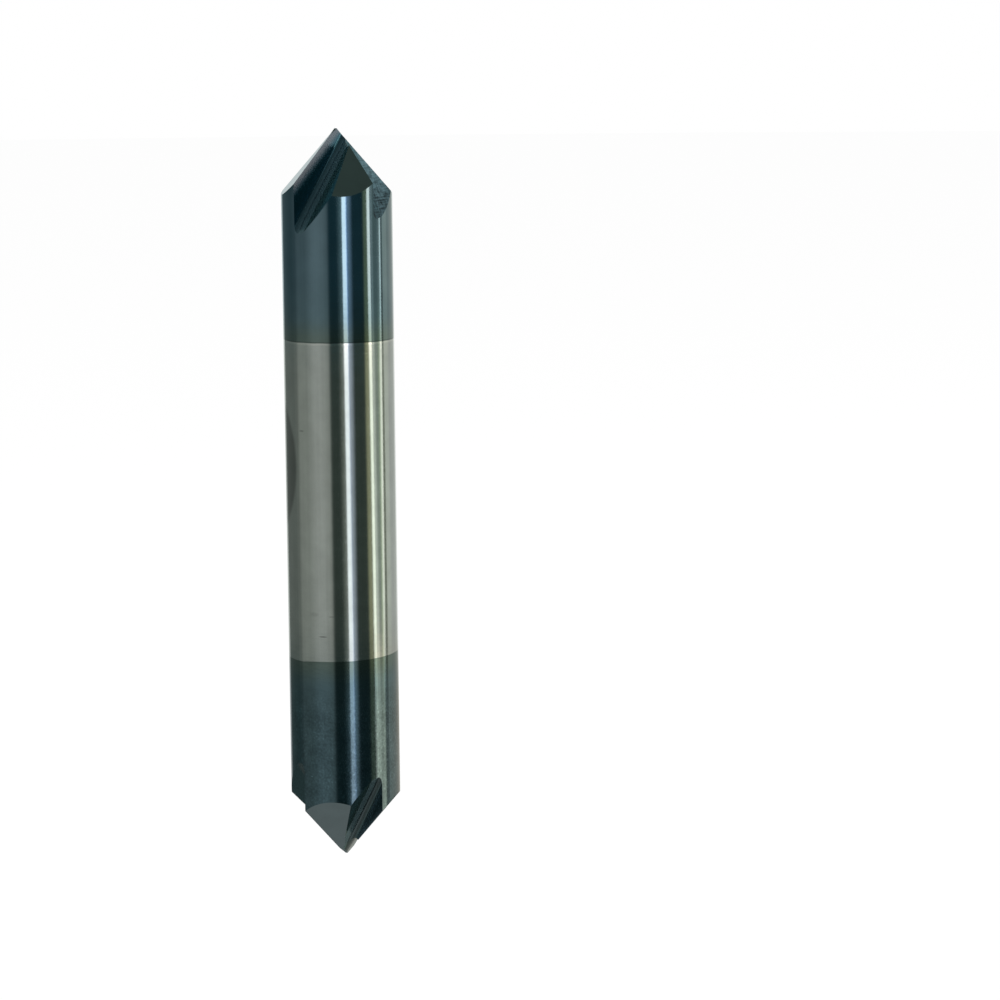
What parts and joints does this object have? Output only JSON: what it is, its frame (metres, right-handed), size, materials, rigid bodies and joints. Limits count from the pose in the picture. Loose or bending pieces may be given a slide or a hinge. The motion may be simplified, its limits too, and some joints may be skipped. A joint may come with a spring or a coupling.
{
  "type": "double-ended chamfer mill",
  "caption": "Solid carbide rod ground to a 90 degree four-flute chamfering point at each end, with a dark coating on the cutting ends and a bare ground shank between them.",
  "frame": {"origin": "middle of the rod, on its axis, halfway between the two points", "axes": "+Z along the rod's axis towards the upper point, whose two long cutting edges lie at +X and -X"},
  "size_m": [0.0096, 0.0096, 0.0636],
  "materials": {
    "carbide": "ground carbide, bare on the shank and blue-green coated over both cutting ends"
  },
  "bodies": {
    "root": {"chamfer_mill": "carbide"}
  },
  "joints": []
}
